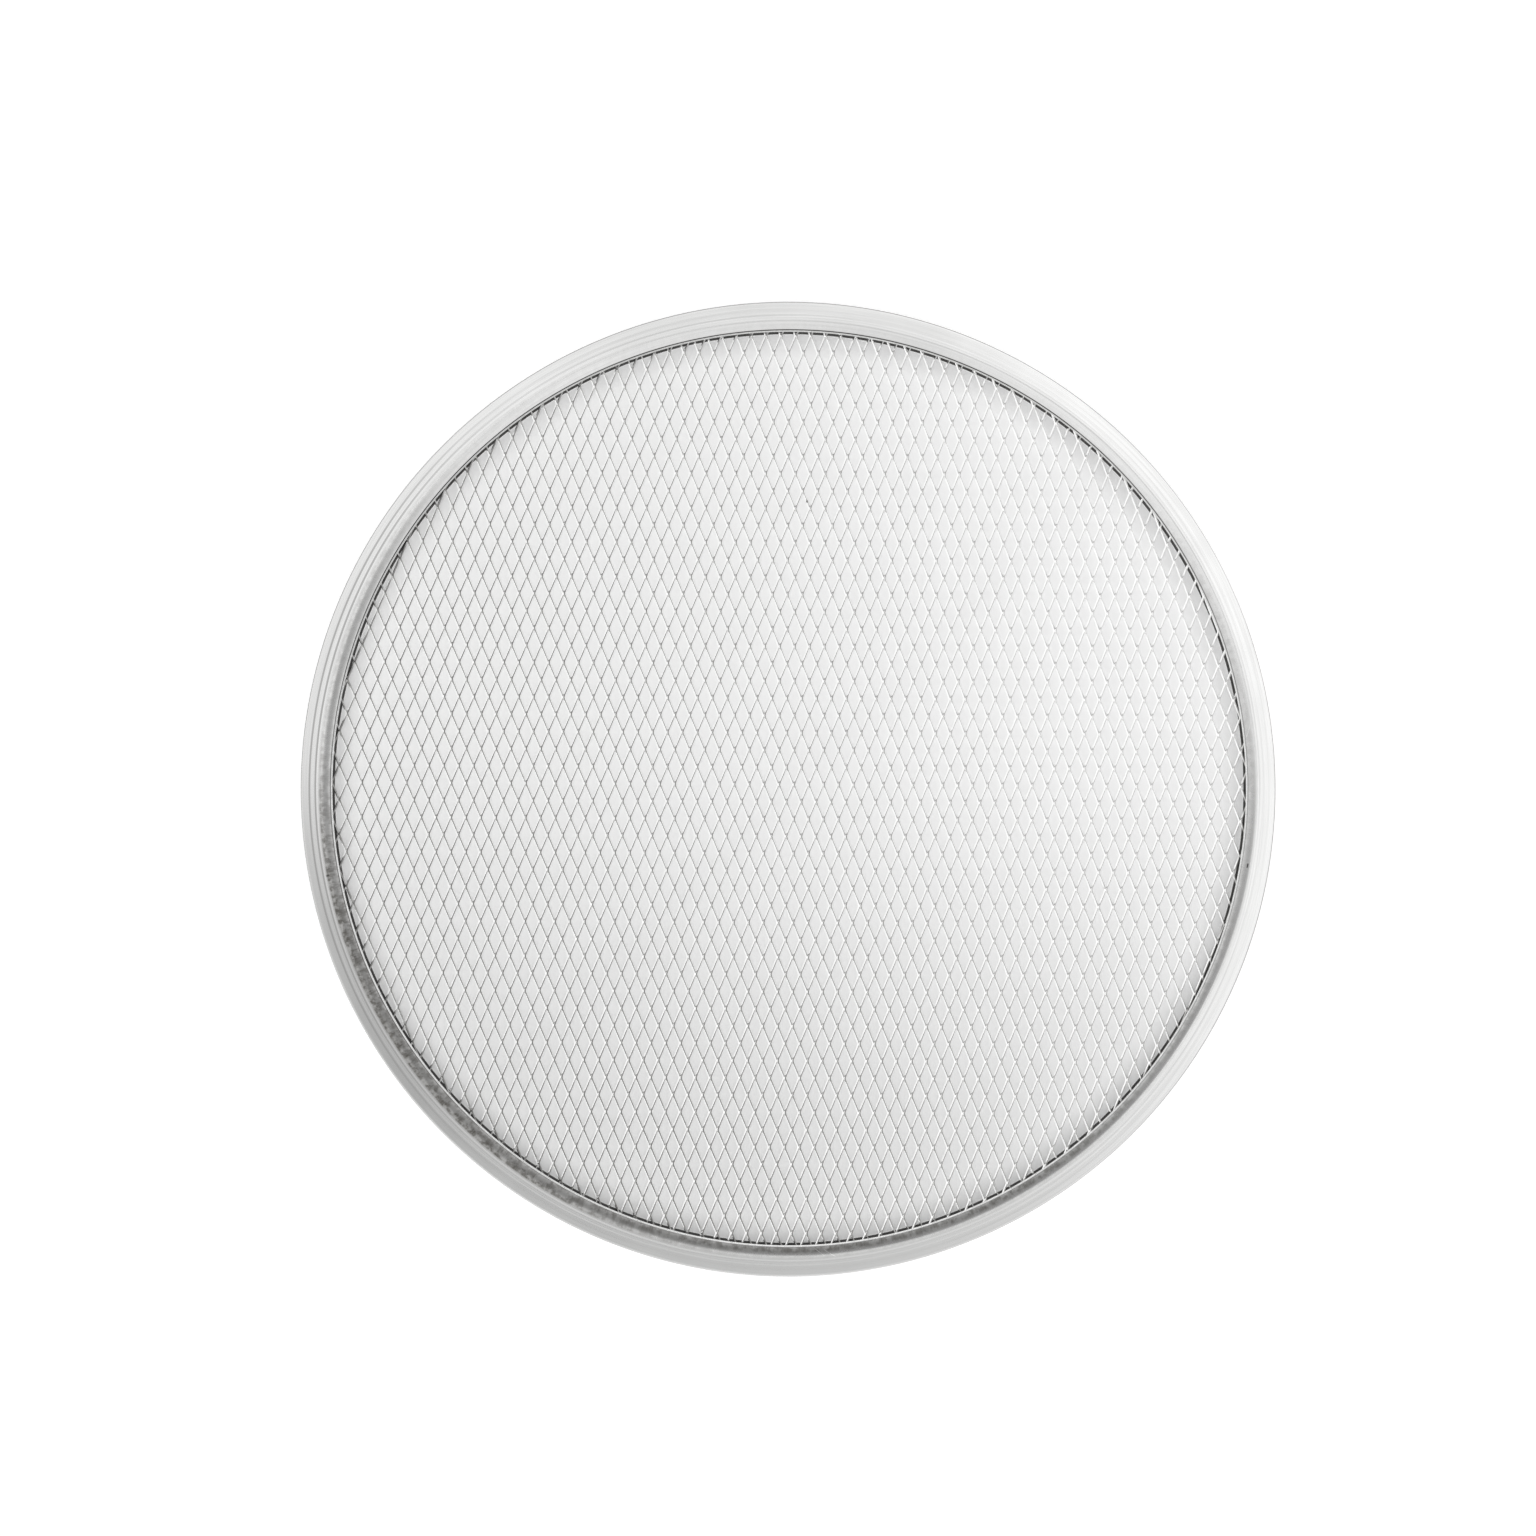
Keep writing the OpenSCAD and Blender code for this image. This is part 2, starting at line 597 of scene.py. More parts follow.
@dataclass(frozen=True)
class BondGrid:
    """Regular grid of the bonds at which neighbouring ribbons of the mesh are joined."""

    short_way: float = 4.66 * MM
    long_way: float = 10.8 * MM
    turn: float = math.radians(-0.3)
    bond_at: Point = (1.68 * MM, 1.4 * MM)

    def around_bond(self, graph: ShaderGraph, x: Value, y: Value) -> tuple[Value, Value]:
        """Tells where a place lies from the nearest bond.

        Args:
            graph: Graph to add it to.
            x: Place across.
            y: Place along Y.

        Returns:
            Its nearness, which is 1 at a bond, 0 halfway along a strand and -1 in the middle of an
            opening, and its side, which is above 0 to the right of the bond and below 0 to the left.
        """
        cos, sin = math.cos(self.turn), math.sin(self.turn)
        across = (x * cos + y * sin - self.bond_at[0]) * (2 * math.pi / self.short_way)
        along = (y * cos - x * sin - self.bond_at[1]) * (2 * math.pi / self.long_way)
        row = graph.math("COSINE", along)
        return graph.math("COSINE", across) * row, graph.math("SINE", across) * row


@dataclass(frozen=True)
class MeshFinish:
    """Expanded aluminium sheet: bright rolled faces, duller sheared ones and painted shade on the sheared
    faces.

    The elbow is a bond's right-hand ribbon, which gets painted shade, and the foot its left-hand one,
    which gets less painted shade.
    """

    rolled: Colour = (0.96, 0.96, 0.955)
    sheared: Colour = (0.90, 0.90, 0.895)
    oxide: Colour = (0.66, 0.655, 0.645)
    # Painted shade on the sheared faces, at the elbows and by the rim.
    residue_and_shade: Colour = (0.20, 0.195, 0.185)
    speck: Colour = (0.12, 0.115, 0.11)
    roughness: float = 0.18
    bump_strength: float = 0.25
    bump_depth: float = 0.01 * MM
    rolled_tilt: float = math.radians(60)
    sheared_facing: Point = (0.50, 0.80)
    elbow_near: Point = (0.40, 0.85)
    elbow_side: Point = (-0.05, 0.20)
    foot_near: Point = (0.10, 0.80)
    foot_side: Point = (0.05, -0.15)
    lip_r: Point = (142.0 * MM, 142.9 * MM)

    worn_share: float = 0.25
    rolled_worn: float = 0.15
    cut_worn: float = 0.4
    shear_share: float = 0.18
    cut_shade_left: float = 0.66
    cut_shade_low: float = 0.31
    foot_unshaded: float = 0.6
    elbow_share: float = 0.35
    elbow_left: float = 0.1
    elbow_right: float = 0.33
    lip_shade_share: float = 0.75
    speck_share: float = 0.85
    grain_dull: float = 0.08
    cloud_dull: float = 0.06
    cut_dull: float = 0.08
    grain_height: float = 0.5
    shear_height: float = 0.5
    cloud_grain: Grain = Grain((18.0 * MM, 18.0 * MM, 4.0 * MM), (0.40, 0.72), detail=3.0, rough=0.6)
    fine_grain: Grain = Grain((0.9 * MM, 0.9 * MM, 0.4 * MM), (0.50, 0.78), detail=3.0, rough=0.6)
    shear_grain: Grain = Grain((3.0 * MM, 0.35 * MM, 1.8 * MM), (0.52, 0.70), shift=5.0)

    left: Region = Region(0.97, 0.15, 120.0 * MM, -130.0 * MM)
    low: Region = Region(0.45, -0.9, 0.0, 120.0 * MM)
    right: Region = Region(1.0, 0.0, 20.0 * MM, 90.0 * MM)
    far_right: Region = Region(0.95, -0.3, 115.0 * MM, 140.0 * MM)
    specks: tuple[Mark, ...] = (
        Mark((1102.0, 889.0), 1.8 * MM, 1.3 * MM, 60.0),
        Mark((807.0, 500.0), 1.6 * MM, 1.0 * MM, 65.0),
        Mark((1060.0, 600.0), 1.4 * MM, 0.8 * MM, 65.0),
    )

    def sheared_part(self, graph: ShaderGraph) -> Value:
        """Tells a ribbon's two sheared faces from its two rolled ones, by the way they face.

        Args:
            graph: Graph to add it to.

        Returns:
            1 on a sheared face and 0 on a rolled one.
        """
        edge_way = (math.cos(self.rolled_tilt), 0.0, math.sin(self.rolled_tilt))
        normal = graph.node("ShaderNodeNewGeometry").outputs["Normal"]
        facing = graph.node("ShaderNodeVectorMath", {"operation": "DOT_PRODUCT"}, {0: normal, 1: edge_way})
        return Value(graph, facing.outputs["Value"]).size().step(*self.sheared_facing)

    def material(self, grid: BondGrid) -> bpy.types.Material:
        """Builds the material.

        Args:
            grid: Grid of the mesh's bonds.

        Returns:
            The mesh's material.
        """
        made = bpy.data.materials.new("expanded_aluminium")
        made.use_nodes = True
        graph = ShaderGraph(made.node_tree)
        x, y, z = graph.place()
        cloud = graph.noise((x, y, z), self.cloud_grain)
        grain = graph.noise((x, y, z), self.fine_grain)
        shear = graph.noise((x, y, z), self.shear_grain)
        cut = self.sheared_part(graph)
        left = self.left.mask(x, y)
        nearness, side = grid.around_bond(graph, x, y)
        elbow = nearness.step(*self.elbow_near) * side.step(*self.elbow_side)
        foot = nearness.step(*self.foot_near) * side.step(*self.foot_side)

        colour = graph.mix(cut, self.rolled, self.sheared)
        shown_cloud = cloud.step(*self.cloud_grain.shows)
        worn = shown_cloud * self.worn_share + grain.step(*self.fine_grain.shows) * self.worn_share
        sheared = shear.step(*self.shear_grain.shows) * cut
        colour = graph.mix(worn * (self.rolled_worn + self.cut_worn * cut), colour, self.oxide)
        colour = graph.mix(sheared * self.shear_share, colour, self.oxide)
        # Painted shade on the sheared faces, on the left and low sides, less at each bond's foot.
        cut_shade = self.cut_shade_left * left + self.cut_shade_low * self.low.mask(x, y)
        cut_shade = cut_shade * (1.0 - self.foot_unshaded * foot)
        colour = graph.mix(cut * cut_shade, colour, self.residue_and_shade)
        # Painted shade on the sheared faces at each bond's elbow, more on the left and less on the right.
        elbow_shade = self.elbow_share + self.elbow_left * left - self.elbow_right * self.right.mask(x, y)
        colour = graph.mix(elbow * cut * elbow_shade, colour, self.residue_and_shade)
        # Painted shade on the mesh where it goes under the rim on the far right.
        by_lip = (x * x + y * y).root().step(*self.lip_r)
        by_lip = by_lip * self.far_right.mask(x, y) * self.lip_shade_share
        colour = graph.mix(by_lip, colour, self.residue_and_shade)
        for speck in self.specks:
            colour = graph.mix(speck.mask(x, y) * self.speck_share, colour, self.speck)

        rough = self.roughness + self.grain_dull * grain + self.cloud_dull * cloud + self.cut_dull * cut
        height = grain * self.grain_height + shear * self.shear_height
        return graph.metal(
            made,
            {
                "Base Color": colour,
                "Metallic": 1.0,
                "Roughness": rough,
                "Normal": graph.bump(height, self.bump_strength, self.bump_depth),
            },
        )


@dataclass(frozen=True)
class FloorFinish:
    """White table: it keeps the screen's shadow, and a plain share of white is added to what is seen.

    The table seen through the mesh is a pale grey, a little darker below and along the rim. It is clear
    from below and where the rim's flat underside lies on it, so that the underside can be seen.
    """

    white: Colour = (0.92, 0.92, 0.92)
    added: float = 0.447
    mirrored: float = 0.58
    shade: float = 0.205
    shade_fall: float = 0.095
    rim_shade: float = 0.16
    shade_r: Point = (148.5 * MM, 146.5 * MM)
    rim_shade_r: Point = (134.0 * MM, 142.0 * MM)
    low: Region = Region(0.12, 0.97, 30.0 * MM, -120.0 * MM)
    contact_r: Point = (142.75 * MM, 150.85 * MM)
    contact_soft: float = 0.1 * MM

    def material(self) -> bpy.types.Material:
        """Builds the material.

        Returns:
            The floor's material.
        """
        made = bpy.data.materials.new("white_table")
        made.use_nodes = True
        graph = ShaderGraph(made.node_tree)
        rays = graph.node("ShaderNodeLightPath").outputs
        seen = Value(graph, rays["Is Camera Ray"]) + Value(graph, rays["Is Transmission Ray"])
        x, y, _ = graph.place()
        radius = (x * x + y * y).root()
        by_rim = radius.step(*self.rim_shade_r) * self.rim_shade
        shade = self.shade + self.shade_fall * self.low.mask(x, y) + by_rim
        shade = radius.step(*self.shade_r) * shade
        light = seen * (self.added - shade) + Value(graph, rays["Is Glossy Ray"]) * self.mirrored
        matt = graph.node("ShaderNodeBsdfDiffuse", None, {"Color": self.white})
        glow = graph.node("ShaderNodeEmission", None, {"Color": light, "Strength": 1.0})
        both = graph.node("ShaderNodeAddShader", None, {0: matt.outputs[0], 1: glow.outputs[0]})
        clear = graph.node("ShaderNodeBsdfTransparent")
        below = Value(graph, graph.node("ShaderNodeNewGeometry").outputs["Backfacing"])
        unseen = below.at_least(radius.band(*self.contact_r, self.contact_soft))
        either: Inputs = {0: unseen, 1: both.outputs[0], 2: clear.outputs[0]}
        shown = graph.node("ShaderNodeMixShader", None, either)
        graph.node("ShaderNodeOutputMaterial", None, {"Surface": shown.outputs[0]})
        return made


def shown_object(
    name: str, points: np.ndarray, faces: Faces, finish: bpy.types.Material, sharp: float
) -> bpy.types.Object:
    """Makes an object from points and faces and puts it in the scene.

    Args:
        name: Name of the object.
        points: One row of X, Y and Z for each point.
        faces: Point numbers of each face, counterclockwise seen from outside.
        finish: Its material.
        sharp: Angle in degrees above which an edge stays sharp.

    Returns:
        The new object.
    """
    mesh = bpy.data.meshes.new(name)
    mesh.from_pydata(points.tolist(), [], faces)
    mesh.shade_smooth()
    mesh.set_sharp_from_angle(angle=math.radians(sharp))
    mesh.materials.append(finish)
    made = bpy.data.objects.new(name, mesh)
    bpy.context.scene.collection.objects.link(made)
    return made


def turned_ring(section: Profile, segments: int) -> tuple[np.ndarray, Faces]:
    """Turns a closed section round the Z axis.

    Args:
        section: Radius and height of its points, counterclockwise with the radius to the right.
        segments: Number of steps round the ring.

    Returns:
        The ring's points and faces.
    """
    angles = np.arange(segments) * (2 * math.pi / segments)
    radii = np.array([point[0] for point in section])
    heights = np.array([point[1] for point in section])
    count = len(section)
    points = np.empty((segments, count, 3))
    points[:, :, 0] = np.cos(angles)[:, None] * radii
    points[:, :, 1] = np.sin(angles)[:, None] * radii
    points[:, :, 2] = heights
    faces = []
    for step in range(segments):
        here = step * count
        there = (step + 1) % segments * count
        for i in range(count):
            j = (i + 1) % count
            faces.append((here + i, there + i, there + j, here + j))
    return points.reshape(-1, 3), faces


def in_metres(*points: Point) -> Profile:
    """Turns points in millimetres into metres."""
    return [(first * MM, second * MM) for first, second in points]


def arc(middle: Point, radius: float, start: float, end: float, steps: int) -> Profile:
    """Gives points along an arc, from its start to its end angle in degrees, in equal steps."""
    turns = np.radians(np.linspace(start, end, steps + 1))
    return [(middle[0] + radius * math.cos(a), middle[1] + radius * math.sin(a)) for a in turns]


def eased(knots: Profile, steps: int) -> Profile:
    """Joins knots with smooth waves.

    Args:
        knots: Radius and height of each crest and hollow.
        steps: Number of intervals between two knots.

    Returns:
        Points from the first knot to the last.
    """
    made = [knots[0]]
    for (r0, z0), (r1, z1) in zip(knots, knots[1:]):
        for i in range(1, steps + 1):
            share = i / steps
            swing = (1 - math.cos(math.pi * share)) / 2
            made.append((r0 + (r1 - r0) * share, z0 + (z1 - z0) * swing))
    return made


# Radius and depth below the top of each ridge's crest or hollow, then radius and height along the rest.
RIDGES = in_metres((150.05, 0.030), (148.95, 0.004), (148.30, 0.028), (147.65, 0.004))
SHOULDER_LINE = in_metres((146.45, 3.14), (146.1, 3.10), (145.8, 3.035))
SLOPE_LINE = in_metres((145.1, 2.785), (144.6, 2.59), (144.1, 2.42), (143.55, 2.27))
LIP_EDGE = in_metres((143.27, 2.27), (143.21, 2.3), (143.15, 2.27), (143.04, 2.13), (142.93, 1.95))
LIP_UNDER = in_metres((142.84, 1.87), (142.8, 1.83), (142.83, 1.808), (142.95, 1.8))


@dataclass
class FoldedRim:
    """Aluminium strip folded round the mesh's edge: base, outer fold, lined top, slope and lip."""

    finish: RimFinish
    outer_r: float = 152.4 * MM
    height: float = 3.2 * MM
    corner: float = 0.55 * MM
    strip: float = 0.5 * MM
    base_in_r: float = 142.2 * MM
    flat_in_r: float = 146.8 * MM
    slope_out_r: float = 145.5 * MM
    crease_r: float = 143.33 * MM
    shoulder_z: float = 3.0 * MM
    slope_out_z: float = 2.94 * MM
    crease_z: float = 2.235 * MM
    bite_z: float = 1.8 * MM
    flat_in_depth: float = 0.045 * MM
    shift_r: float = 147.5 * MM
    shift_fade: float = 2.5 * MM
    segments: int = 720
    fold_steps: int = 12
    edge_steps: int = 8
    ridge_steps: int = 7

    def section(self) -> Profile:
        """Builds the strip's section.

        Returns:
            Its points, counterclockwise.
        """
        fold = self.height / 2
        fold_r = self.outer_r - fold
        edge = self.strip / 2
        base_edge = arc((self.base_in_r + edge, edge), edge, 90, 270, self.edge_steps)
        low_fold = arc((fold_r, fold), fold, -90, 0, self.fold_steps)
        corner = self.corner
        high_middle = (self.outer_r - corner, self.height - corner)
        high_fold = arc(high_middle, corner, 0, 90, self.fold_steps)
        return [
            *base_edge,
            *low_fold,
            *high_fold,
            *self.lined_top(),
            *self.slope(),
            *self.lip(),
            *self.inner_side(fold_r, fold),
        ]

    def lined_top(self) -> Profile:
        """Builds the top with its rolled ridges, from the fold inwards.

        Returns:
            The top's points after the fold's last one.
        """
        crests = [(self.outer_r - self.corner, self.height)]
        crests.extend((radius, self.height - depth) for radius, depth in RIDGES)
        crests.append((self.flat_in_r, self.height - self.flat_in_depth))
        return eased(crests, self.ridge_steps)[1:]

    def slope(self) -> Profile:
        """Gives the points of the shoulder and the slope, from the lined top down to the crease."""
        slope_start, crease = (self.slope_out_r, self.slope_out_z), (self.crease_r, self.crease_z)
        return [*SHOULDER_LINE, slope_start, *SLOPE_LINE, crease]

    def lip(self) -> Profile:
        """Gives the burnished lip's points, from the crease over its edge to its underside."""
        return [*LIP_EDGE, *LIP_UNDER, (self.crease_r, self.bite_z)]

    def inner_side(self, fold_r: float, fold: float) -> Profile:
        """Builds the strip's inner side, from the lip's underside round to the base.

        Args:
            fold_r: Radius at which the outer fold starts.
            fold: Radius of the outer fold.

        Returns:
            Its points, up to the base's rounded edge.
        """
        under_top = self.height - self.strip
        return [
            (self.slope_out_r, self.shoulder_z - self.strip),
            (self.flat_in_r, under_top),
            *arc((fold_r, fold), fold - self.strip, 90, -90, self.fold_steps),
        ]

    def build(self) -> bpy.types.Object:
        """Builds the rim, its lip and slope moved a little off the middle of its outer circle.

        Returns:
            The rim's object.
        """
        points, faces = turned_ring(self.section(), self.segments)
        radii = np.hypot(points[:, 0], points[:, 1])
        share = np.clip((self.shift_r - radii) / self.shift_fade, 0, 1)
        share = share * share * (3 - 2 * share)
        points[:, 0] += share * self.finish.ring_shift[0]
        points[:, 1] += share * self.finish.ring_shift[1]
        return shown_object("folded_rim", points, faces, self.finish.material(), sharp=50.0)


@dataclass(frozen=True)
class Stop:
    """One stop on the way up a ribbon.

    Its share is 0 at the bonds on its left and 1 at those on its right, and its bond is -1 where one on
    the left starts, 1 where one on the right starts and 0 elsewhere.
    """

    y: float
    share: float
    tilt: float
    bond: int = 0

    def toward(self, other: "Stop", amount: float) -> "Stop":
        """Gives a stop between this one and the next.

        Args:
            other: Next stop.
            amount: Share of the way to it.

        Returns:
            The stop between them.
        """
        return Stop(
            self.y + (other.y - self.y) * amount,
            self.share + (other.share - self.share) * amount,
            self.tilt + (other.tilt - self.tilt) * amount,
        )


@dataclass
class DiamondMesh:
    """Expanded sheet: ribbons that lean, right side up, and zigzag between bonds two ribbons wide.

    A ribbon's cut end is found in cut_halvings steps, and points that agree to weld_places are joined.
    Each of joined_sides is a stop's bond and the side that the section shares there with its neighbour.
    """

    finish: MeshFinish
    grid: BondGrid = BondGrid()
    ribbon: float = 0.6 * MM
    sheet: float = 0.45 * MM
    bond_tilt: float = math.radians(60)
    rising_tilt: float = math.radians(57)
    falling_head_tilt: float = math.radians(60)
    falling_foot_tilt: float = math.radians(55)
    bond_length: float = 0.3 * MM
    bend_length: float = 0.25 * MM
    bend_share: float = 0.04
    middle_z: float = 1.15 * MM
    cut_r: float = 145.5 * MM
    band_r: Point = (143.4 * MM, 147.5 * MM)
    band_z: Point = (0.5 * MM, 1.8 * MM)
    band_segments: int = 360
    spare_rows: int = 3
    joined_sides: tuple[tuple[int, int], ...] = ((1, 1), (-1, 3))
    cut_halvings: int = 12
    weld_places: int = 7

    def stops(self, column: int) -> list[Stop]:
        """Walks up one ribbon and stops at the ends of each bond and bend.

        Args:
            column: Number of the ribbon, which has bond column `column` on its left.

        Returns:
            The stops.
        """
        half = self.grid.long_way / 2
        reach = int(self.cut_r / half) + self.spare_rows
        flat = self.bond_length / 2
        made = []
        for row in range(-reach, reach + 1):
            middle = row * half
            right = (row + column) % 2
            near = float(right)
            bent = near - self.bend_share if right else self.bend_share
            below = self.rising_tilt if right else self.falling_head_tilt
            above = self.falling_foot_tilt if right else self.rising_tilt
            made.append(Stop(middle - flat - self.bend_length, bent, below))
            made.append(Stop(middle - flat, near, self.bond_tilt, 1 if right else -1))
            made.append(Stop(middle + flat, near, self.bond_tilt))
            made.append(Stop(middle + flat + self.bend_length, bent, above))
        return made

    def corners(self, column: int, stop: Stop) -> list[Place]:
        """Gives the four corners of a ribbon's section.

        Args:
            column: Number of the ribbon.
            stop: Where the section is taken.

        Returns:
            The corners, counterclockwise seen from the ribbon's upper end.
        """
        step = self.grid.short_way / 2
        cos, sin = math.cos(stop.tilt), math.sin(stop.tilt)
        away = self.ribbon / 2 * (1 - 2 * stop.share)
        middle_x = self.grid.bond_at[0] + (column + stop.share) * step + away * math.cos(self.bond_tilt)
        middle_z = self.middle_z + away * math.sin(self.bond_tilt)
        made = []
        for side_u, side_v in ((-1, -1), (1, -1), (1, 1), (-1, 1)):
            du = side_u * self.ribbon / 2
            dv = side_v * self.sheet / 2
            x = middle_x + du * cos - dv * sin
            z = middle_z + du * sin + dv * cos
            made.append((x, self.grid.bond_at[1] + stop.y, z))
        return made

    def inside(self, column: int, stop: Stop) -> bool:
        """Tells if a stop of a ribbon lies inside the line that the mesh is cut on."""
        x = self.grid.bond_at[0] + (column + stop.share) * self.grid.short_way / 2
        return math.hypot(x, self.grid.bond_at[1] + stop.y) < self.cut_r

    def crossing(self, column: int, low: Stop, high: Stop) -> Stop:
        """Finds where a ribbon crosses the line that the mesh is cut on.

        Args:
            column: Number of the ribbon.
            low: One stop.
            high: The next stop, on the other side of the line.

        Returns:
            The crossing.
        """
        starts_inside = self.inside(column, low)
        near, far = 0.0, 1.0
        for _ in range(self.cut_halvings):
            middle = (near + far) / 2
            if self.inside(column, low.toward(high, middle)) == starts_inside:
                near = middle
            else:
                far = middle
        return low.toward(high, near)

    def ribbon_faces(self, column: int, points: list[Place], faces: Faces) -> None:
        """Adds one ribbon's points and faces.

        Args:
            column: Number of the ribbon.
            points: Points so far, which this adds to.
            faces: Faces so far, which this adds to.
        """
        stops = self.stops(column)
        last_ring = -1
        for low, high in zip(stops, stops[1:]):
            low_in = self.inside(column, low)
            high_in = self.inside(column, high)
            if low.bond:
                low_in = high_in = self.inside(column, low.toward(high, 0.5))
            if not low_in and not high_in:
                if last_ring >= 0:
                    faces.append((last_ring, last_ring + 1, last_ring + 2, last_ring + 3))
                last_ring = -1
                continue
            start = low if low_in else self.crossing(column, low, high)
            end = high if high_in else self.crossing(column, low, high)
            if last_ring < 0:
                last_ring = len(points)
                points.extend(self.corners(column, start))
                faces.append((last_ring + 3, last_ring + 2, last_ring + 1, last_ring))
            ring = len(points)
            points.extend(self.corners(column, end))
            for side in range(4):
                if (low.bond, side) not in self.joined_sides:
                    after = (side + 1) % 4
                    faces.append((last_ring + side, last_ring + after, ring + after, ring + side))
            last_ring = ring
            if not high_in:
                faces.append((ring, ring + 1, ring + 2, ring + 3))
                last_ring = -1
        if last_ring >= 0:
            faces.append((last_ring, last_ring + 1, last_ring + 2, last_ring + 3))

    def expanded(self) -> tuple[np.ndarray, Faces]:
        """Builds all ribbons, joined at their bonds.

        Returns:
            The points, turned to the photograph's angle, and the faces.
        """
        points: list[Place] = []
        faces: Faces = []
        reach = int(self.cut_r / (self.grid.short_way / 2)) + self.spare_rows
        for column in range(-reach, reach + 1):
            self.ribbon_faces(column, points, faces)
        loose = np.array(points)
        rounded = np.round(loose, self.weld_places)
        _, first, number = np.unique(rounded, axis=0, return_index=True, return_inverse=True)
        number = number.reshape(-1)
        joined = loose[first]
        faces = [tuple(int(number[i]) for i in face) for face in faces]
        cos, sin = math.cos(self.grid.turn), math.sin(self.grid.turn)
        x = joined[:, 0] * cos - joined[:, 1] * sin
        y = joined[:, 0] * sin + joined[:, 1] * cos
        return np.column_stack((x, y, joined[:, 2])), faces

    def edge_band(self) -> tuple[np.ndarray, Faces]:
        """Gives points and faces of the sheet's pressed edge, which is out of sight in the rim."""
        (inner, outer), (low, high) = self.band_r, self.band_z
        return turned_ring([(inner, low), (outer, low), (outer, high), (inner, high)], self.band_segments)

    def build(self) -> bpy.types.Object:
        """Builds the mesh.

        Returns:
            The mesh's object.
        """
        points, faces = self.expanded()
        band_points, band_faces = self.edge_band()
        start = len(points)
        faces.extend(tuple(start + i for i in face) for face in band_faces)
        points = np.vstack((points, band_points))
        return shown_object("diamond_mesh", points, faces, self.finish.material(self.grid), sharp=35.0)


@dataclass(frozen=True)
class SoftPanel:
    """A soft bright panel of the studio, by where it stands in the sky."""

    azimuth: float
    tip: float
    core: float
    reach: float
    light: float

    def radiance(self, graph: ShaderGraph, ray: Socket, walls: float) -> Value:
        """Builds the light that comes from the panel.

        Args:
            graph: The world's graph.
            ray: Direction that is looked in.
            walls: Light of the walls behind it.

        Returns:
            The panel's light, which fades from its core to its reach.
        """
        around, down = math.radians(self.azimuth), math.radians(self.tip)
        axis = (math.cos(around) * math.sin(down), math.sin(around) * math.sin(down), math.cos(down))
        along = graph.node("ShaderNodeVectorMath", {"operation": "DOT_PRODUCT"}, {0: ray, 1: axis})
        angle = graph.math("ARCCOSINE", Value(graph, along.outputs["Value"]))
        share = angle.step(math.radians(self.reach), math.radians(self.core))
        return share * (self.light - walls) + walls


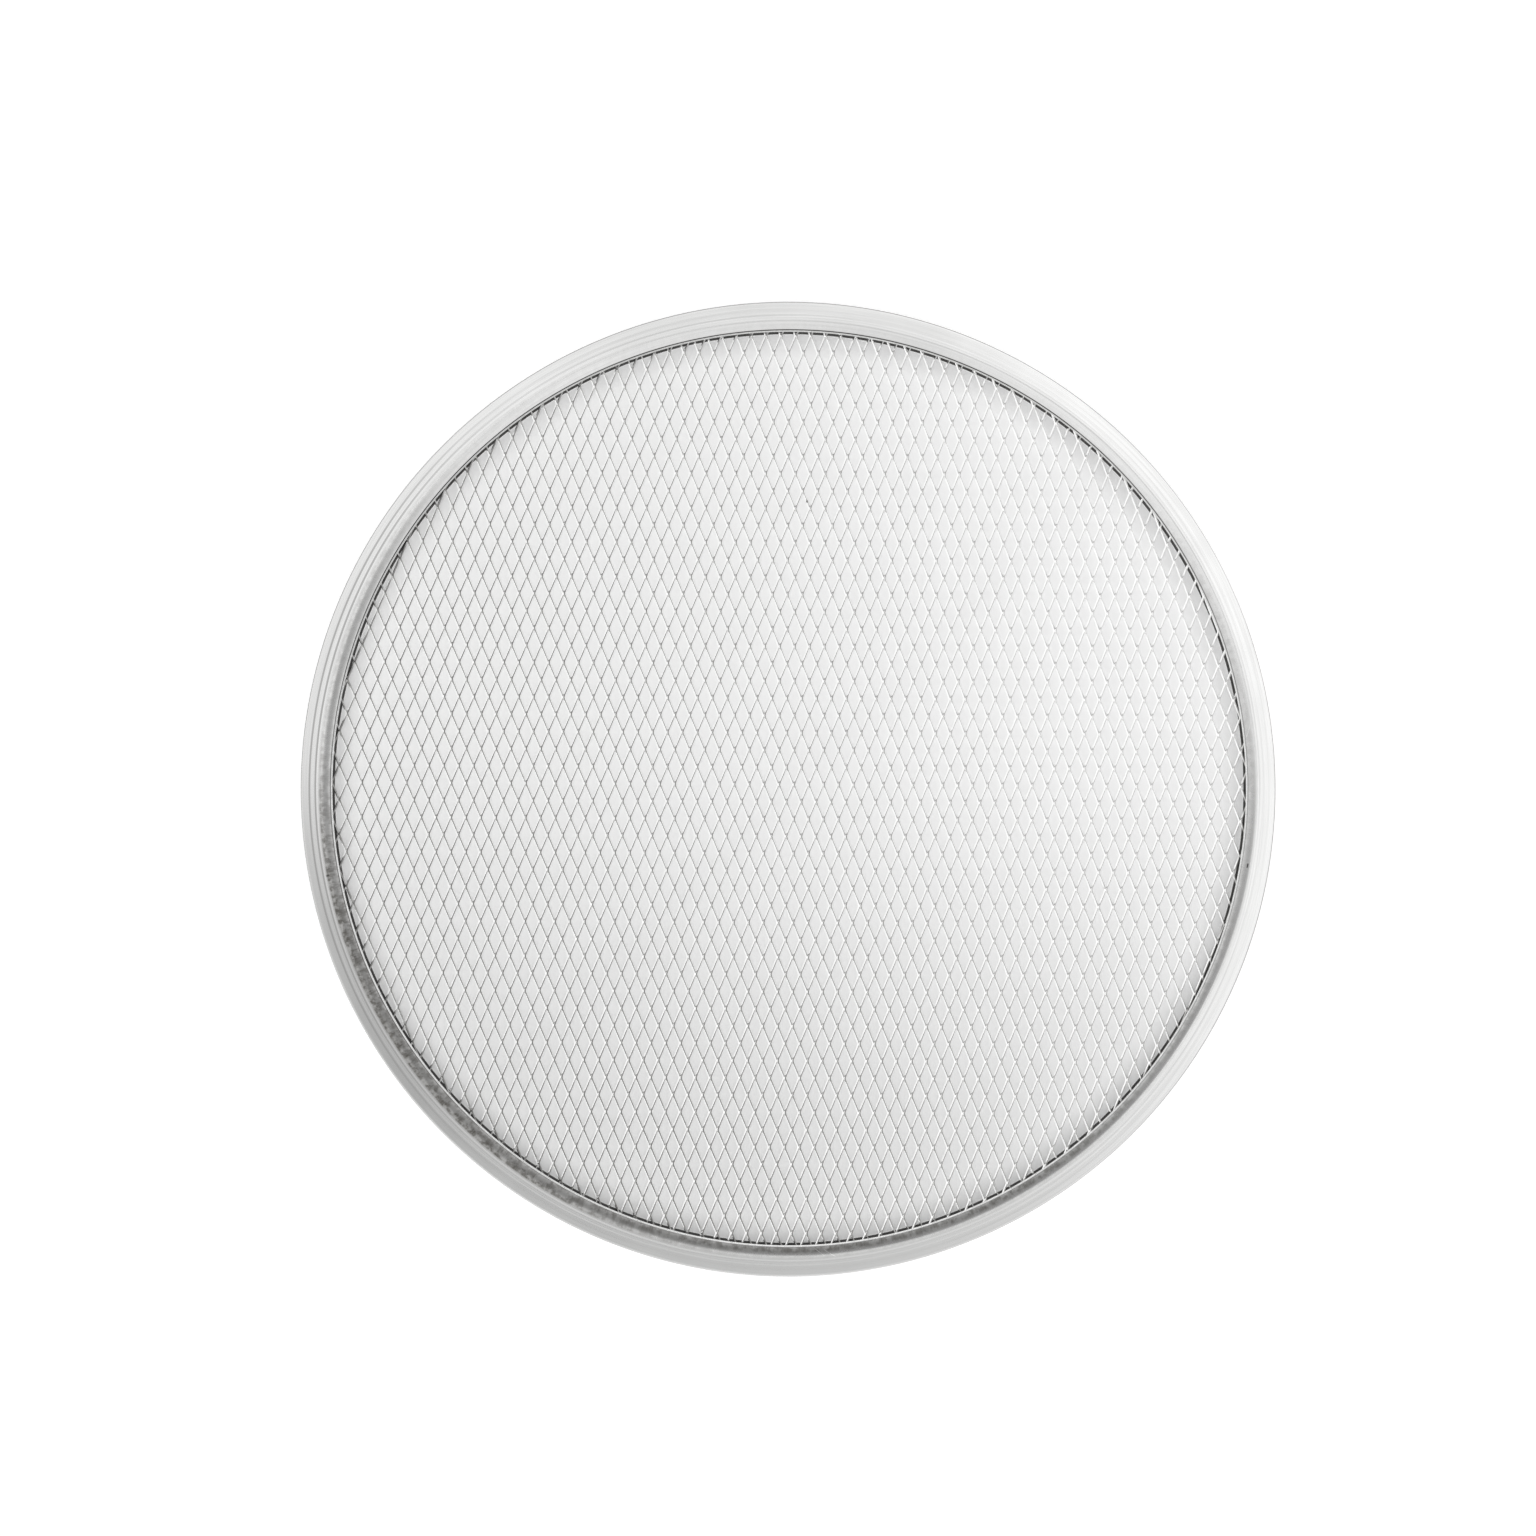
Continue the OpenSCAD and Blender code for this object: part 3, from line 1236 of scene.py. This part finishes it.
@dataclass(frozen=True)
class Studio:
    """White table in a studio with soft panels, and the camera straight above."""

    walls: float = 0.36
    horizon: float = 1.0
    horizon_top: float = math.cos(math.radians(58))
    horizon_full: float = math.cos(math.radians(72))
    below_dim: float = 0.45
    below: Point = (-0.02, -0.25)
    panels: tuple[SoftPanel, ...] = (
        SoftPanel(azimuth=30.0, tip=12.0, core=8.0, reach=22.0, light=1.2),
        SoftPanel(azimuth=150.0, tip=14.0, core=6.0, reach=15.0, light=1.0),
        SoftPanel(azimuth=285.0, tip=32.0, core=14.0, reach=29.0, light=0.98),
        SoftPanel(azimuth=220.0, tip=33.0, core=13.0, reach=28.0, light=0.96),
        SoftPanel(azimuth=25.0, tip=58.0, core=8.0, reach=18.0, light=1.0),
    )
    camera_height: float = 1.0
    middle_z: float = 1.6 * MM
    sensor: float = 36.0
    clips: Point = (0.01, 200.0)
    table_half: float = 30.0
    floor: FloorFinish = FloorFinish()

    def light(self) -> None:
        """Builds the world's soft light."""
        world = bpy.data.worlds.new("studio")
        bpy.context.scene.world = world
        world.use_nodes = True
        graph = ShaderGraph(world.node_tree)
        ray = graph.node("ShaderNodeTexCoord").outputs["Generated"]
        height = Value(graph, graph.node("ShaderNodeSeparateXYZ", None, {0: ray}).outputs[2])
        share = height.step(self.horizon_top, self.horizon_full)
        total = share * (self.horizon - self.walls) + self.walls
        for panel in self.panels:
            total = total.at_least(panel.radiance(graph, ray, self.walls))
        total = total * (1.0 - self.below_dim * height.step(*self.below))
        glow = graph.node("ShaderNodeBackground", None, {"Color": total, "Strength": 1.0})
        graph.node("ShaderNodeOutputWorld", None, {"Surface": glow.outputs[0]})

    def table(self) -> None:
        """Builds the white table that the screen lies on."""
        far = self.table_half
        corners = np.array([(-far, -far, 0.0), (far, -far, 0.0), (far, far, 0.0), (-far, far, 0.0)])
        floor = shown_object("table", corners, [(0, 1, 2, 3)], self.floor.material(), sharp=30.0)

    def camera(self) -> None:
        """Puts the camera where the photograph was taken from."""
        x, y = PHOTO.place(*PHOTO.centre_px)
        width = PHOTO.size_px * PHOTO.pixel
        lens = bpy.data.cameras.new("camera")
        lens.sensor_width = self.sensor
        lens.lens = self.sensor * self.camera_height / width
        lens.clip_start, lens.clip_end = self.clips
        seen = bpy.data.objects.new("camera", lens)
        seen.location = (x, y, self.camera_height + self.middle_z)
        bpy.context.scene.collection.objects.link(seen)
        bpy.context.scene.camera = seen

    def build(self) -> None:
        """Builds light, table and camera."""
        bpy.context.scene.view_settings.view_transform = "Standard"
        self.light()
        self.table()
        self.camera()


def fit(piece: bpy.types.Object, node: str) -> None:
    """Puts a piece in a CAD node's place and reports it.

    Args:
        piece: The dressed piece.
        node: Node that it stands for.
    """
    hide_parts(node)
    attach(piece, "root")
    triangles = sum(len(face.vertices) - 2 for face in piece.data.polygons)
    log.info("%s stands for %s: %d triangles", piece.name, node, triangles)


def main() -> None:
    """Builds the screen and its studio."""
    logging.basicConfig(level=logging.INFO, format="%(message)s")
    Studio().build()
    fit(FoldedRim(RimFinish()).build(), "rim")
    fit(DiamondMesh(MeshFinish()).build(), "mesh")


if __name__ == "__main__":
    main()
